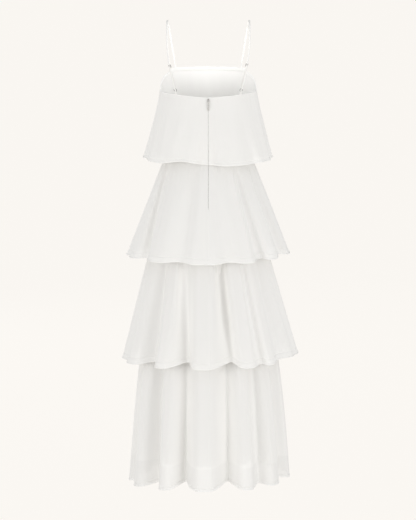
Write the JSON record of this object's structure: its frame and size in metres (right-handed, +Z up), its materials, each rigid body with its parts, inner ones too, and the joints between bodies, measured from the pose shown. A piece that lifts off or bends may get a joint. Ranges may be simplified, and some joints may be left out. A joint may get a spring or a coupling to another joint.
{
  "type": "maxi dress",
  "caption": "Long strappy dress with loose gathered tiers over a fitted bodice and slip, a centre back zip and adjustable shoulder straps, hollow as worn.",
  "frame": {"origin": "where the wearer's shoulders hold the dress: level with the undersides of the straps at their tops, midway between them", "axes": "+Z up, +Y towards the back with the zip, -Y towards the front, +X towards the wearer's left"},
  "size_m": [0.5242, 0.436, 1.38],
  "materials": {
    "chiffon": "soft matt off-white chiffon",
    "lining": "fine matt off-white lining",
    "strap": "folded self-fabric strap",
    "zip_tape": "woven tape",
    "nickel": "plated wire and castings"
  },
  "bodies": {
    "root": {"bodice_front": "lining", "bodice_back_left": "lining", "bodice_back_right": "lining", "slip_front": "lining", "slip_back_left": "lining", "slip_back_right": "lining", "tier_1_front": "chiffon", "tier_1_back_left": "chiffon", "tier_1_back_right": "chiffon", "tier_2_front": "chiffon", "tier_2_back_left": "chiffon", "tier_2_back_right": "chiffon", "tier_3_front": "chiffon", "tier_3_back_left": "chiffon", "tier_3_back_right": "chiffon", "tier_4_front": "chiffon", "tier_4_back_left": "chiffon", "tier_4_back_right": "chiffon", "strap_left": "strap", "strap_right": "strap", "strap_loop_left": "strap", "strap_loop_right": "strap", "zip_tape": "zip_tape", "ring_left": "nickel", "ring_right": "nickel", "strap_slider_left": "nickel", "strap_slider_right": "nickel", "zip_slider": "nickel"},
    "pull_tab": {"zip_pull": "nickel"}
  },
  "joints": [
    {"name": "pull_tab_hinge", "type": "hinge", "parent": "root", "child": "pull_tab", "pos_m": [0, 0.10249, -0.22777], "axis": [1, 0, 0], "range_deg": [0, 165]}
  ]
}
